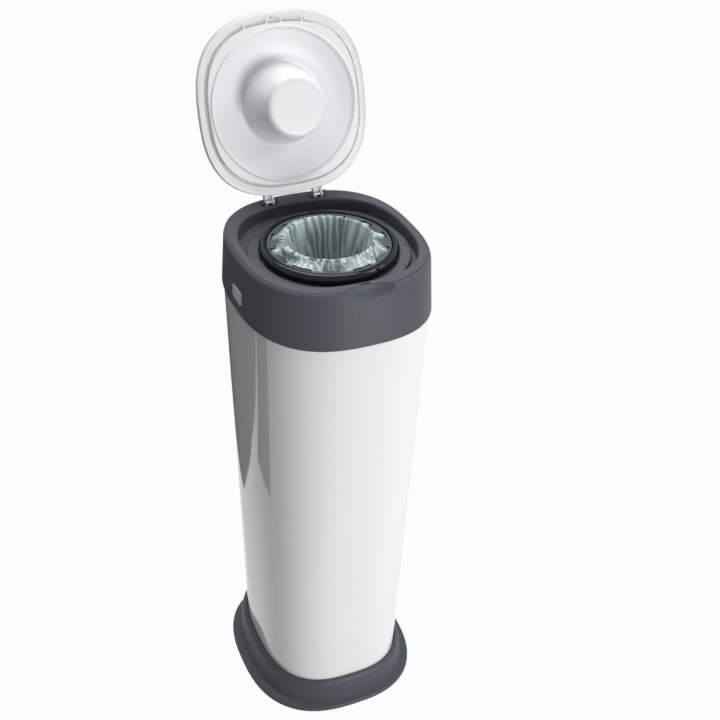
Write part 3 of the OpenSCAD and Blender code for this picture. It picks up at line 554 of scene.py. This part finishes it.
def throat_point(circle, angle, step):
    """Radius, height and milkiness of the film on one row of the throat."""
    fold_edge, fold_back, height = throat[step]
    fold = pleat(angle, height)
    radius = fold_edge + (fold_back - fold_edge) * fold
    radius += lean_out(circle, math.degrees(angle)) * (1 - smooth_step(0, 5, step))
    milk = 0.92 - 0.5 * smooth_step(0.15, 0.7, fold)
    if step < loose_rows:
        crease = crumple(circle, radius, height)
        loose = 1 - smooth_step(2, loose_rows, step)
        height += (0.9 * (crease - 0.45) + 0.25 + 1.1 * (fold - 0.35)) * loose
        radius += 0.6 * (crease - 0.5) * loose
        milk -= 0.34 * (1 - smooth_step(0.5, 0.9, crease)) * loose
    return radius, height, milk


film_columns = 1200
skirt_rows = 24
film_rows = skirt_rows + len(throat)
# Outside the plug cup the crests stay under the slope of the closed lid's dish
cup_radius = 50
crest_limit = 8.0
dish_slope = 0.27
film_points = []
milkiness = []
for row in range(film_rows):
    for column in range(film_columns):
        angle = 2 * math.pi * column / film_columns
        circle = Vector((math.cos(angle), math.sin(angle), 0))
        if row < skirt_rows:
            radius, height, milk = skirt_point(circle, math.degrees(angle), row / skirt_rows)
        else:
            radius, height, milk = throat_point(circle, angle, row - skirt_rows)
        if radius > cup_radius:
            height = min(height, crest_limit - dish_slope * (radius - cup_radius))
        milkiness.append(milk)
        film_points.append((radius * mm * circle.x, ring_y + radius * mm * circle.y, rim_z + height * mm))
film_faces = wrap_faces(film_rows, film_columns)
film = new_piece("drawn_film", film_points, film_faces, film_skin)
film.data.attributes.new("milkiness", "FLOAT", "POINT").data.foreach_set("value", milkiness)
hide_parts("film_skirt", "film_funnel", "film_tube", "film_twist")
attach(film, "cassette")

# The store of film lies in the tub in flat zigzag folds, pressed together and a little uneven.
store_folds = 24
store_columns = 240
store_inner = 53.0
store_outer = 65.9
store_bottom = -48.6
store_height = 34.0
store_layers = store_folds * 2
store_points = []
for layer in range(store_layers + 1):
    radius = store_outer if layer % 2 else store_inner
    height = store_bottom + layer * store_height / store_layers
    for column in range(store_columns):
        angle = 2 * math.pi * column / store_columns
        sway = noise.noise(Vector((2.4 * math.cos(angle), 2.4 * math.sin(angle), layer * 1.7)))
        out = radius + 0.5 * sway - 0.4
        store_points.append((
            out * mm * math.cos(angle),
            ring_y + out * mm * math.sin(angle),
            rim_z + (height + 0.22 * sway) * mm,
        ))
store_faces = wrap_faces(store_layers + 1, store_columns, flipped=True)
store = new_piece("film_store", store_points, store_faces, film_skin, smooth=False)
store.data.attributes.new("milkiness", "FLOAT", "POINT").data.foreach_set("value", [0.8] * len(store_points))
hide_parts("film_pack")
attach(store, "cassette")

# ---- Lid shell ----
# The outer shell of the lid is a frosted, slightly see-through moulding: a low dome with a broad
# flat flange, two forked hinge arms at the back and a snap hook at the front.
lid_skin = plastic("lid_frosted", (0.94, 0.945, 0.945), 0.3, cloud=0.01, clear=0.6)
dress("lid_shell", lid_skin, crease=26)

# ---- Lid dish ----
# The satin white dish clips into the shell from below and stands a few millimetres proud of the
# flange. A round bead frames its shallow bowl, and four catches bridge the slot along its front edge.
liner_skin = plastic("liner_white", (0.765, 0.77, 0.775), 0.38, grain=0.06, cloud=0.01)
dress("plug_cup", liner_skin)

# The dish is drawn as it lies on the closed lid's flange, and then swung up about the hinge pins
flange_z = rim_z + 0.8 * mm
pin_y = 99.5 * mm
pin_z = rim_z + 2.5 * mm
lid_opening = math.radians(107.3)
lid_swing = (
    Matrix.Translation((0, pin_y, pin_z))
    @ Matrix.Rotation(-lid_opening, 4, "X")
    @ Matrix.Translation((0, -pin_y, -pin_z))
)
half_width = 90.5
half_depth = 91.0
squareness = 2.66


def dish_edge(angle, inset):
    """Distance from the dish's middle to its rounded-square edge, less an inset."""
    c = abs(math.cos(angle)) / (half_width - inset)
    s = abs(math.sin(angle)) / (half_depth - inset)
    return (c ** squareness + s ** squareness) ** (-1 / squareness)


# Each row: how far inside the edge, or the radius once it is round, and the level above the flange.
# The rows run from the foot of the upstand over the face and the bowl, and back along the far side.
dish_face = [
    ("edge", 0.2, 4.4), ("edge", 0, -2.1), ("edge", 0.12, -2.6), ("edge", 0.45, -2.9), ("edge", 1.0, -3.0),
    ("edge", 2.0, -3.0), ("round", 88.9, -3.0), ("round", 88.5, -3.15), ("round", 88.2, -3.7),
    ("round", 87.8, -4.25), ("round", 87.2, -4.5), ("round", 86.5, -4.4), ("round", 85.8, -4.0),
    ("round", 85.1, -3.2), ("round", 84.4, -2.3), ("round", 83.6, -1.6), ("round", 82.6, -1.2),
    ("round", 80.5, -0.7), ("round", 75.0, 1.1), ("round", 69.0, 3.0), ("round", 62.5, 4.6),
    ("round", 58.0, 5.5), ("round", 54.5, 6.4), ("round", 51.8, 7.5), ("round", 50.2, 8.0),
    ("round", 49.0, 8.1),
]
dish_back = [
    ("round", 49.0, 9.9), ("round", 54.5, 8.4), ("round", 58.0, 7.3), ("round", 69.0, 5.4),
    ("round", 79.6, 3.5), ("round", 83.2, 0.9), ("round", 86.4, -2.4), ("round", 88.6, -1.3),
    ("edge", 2.0, -1.2), ("edge", 1.7, 4.4),
]
round_inset = 2.4
dish_columns = 360
dish_points = []
for kind, reach, level in dish_face + dish_back:
    for column in range(dish_columns):
        angle = 2 * math.pi * column / dish_columns
        radius = dish_edge(angle, reach) if kind == "edge" else min(reach, dish_edge(angle, round_inset))
        dish_points.append(lid_swing @ Vector((
            radius * mm * math.cos(angle),
            ring_y + radius * mm * math.sin(angle),
            flange_z + level * mm,
        )))
dish_faces = wrap_faces(len(dish_face) + len(dish_back), dish_columns, flipped=True, closed=True)


def add_block(points, faces, low, high):
    """A small block with chamfered edges in the closed lid's frame, in millimetres above the flange."""
    chamfer = 0.25
    start = len(points)
    for z, inset in ((low[2], chamfer), (low[2] + chamfer, 0), (high[2] - chamfer, 0), (high[2], chamfer)):
        for x, y in (
            (low[0] + inset, low[1] + inset), (high[0] - inset, low[1] + inset),
            (high[0] - inset, high[1] - inset), (low[0] + inset, high[1] - inset),
        ):
            points.append(lid_swing @ Vector((x * mm, y * mm, flange_z + z * mm)))
    for level in range(3):
        for k in range(4):
            m = (k + 1) % 4
            at = start + 4 * level
            faces.append((at + k, at + m, at + 4 + m, at + 4 + k))
    faces.append((start + 3, start + 2, start + 1, start))
    faces.append((start + 12, start + 13, start + 14, start + 15))


# Four catches bridge the slot along the dish's front edge
middle_y = -10
catch_places = (-38, -10.8, 6.2, 32)
catch_half = 1.3
slot_width = 4.4
catch_root = 0.6
for x in catch_places:
    front = middle_y - half_depth * (1 - abs(x / half_width) ** squareness) ** (1 / squareness)
    low_corner = (x - catch_half, front - slot_width, -0.6)
    high_corner = (x + catch_half, front + catch_root, 1.4)
    add_block(dish_points, dish_faces, low_corner, high_corner)
dish = new_piece("lid_dish", dish_points, dish_faces, liner_skin)
split = dish.modifiers.new("creases", "EDGE_SPLIT")
split.split_angle = math.radians(40)
even = dish.modifiers.new("even", "WEIGHTED_NORMAL")
even.keep_sharp = True
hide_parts("lid_liner")
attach(dish, "lid")
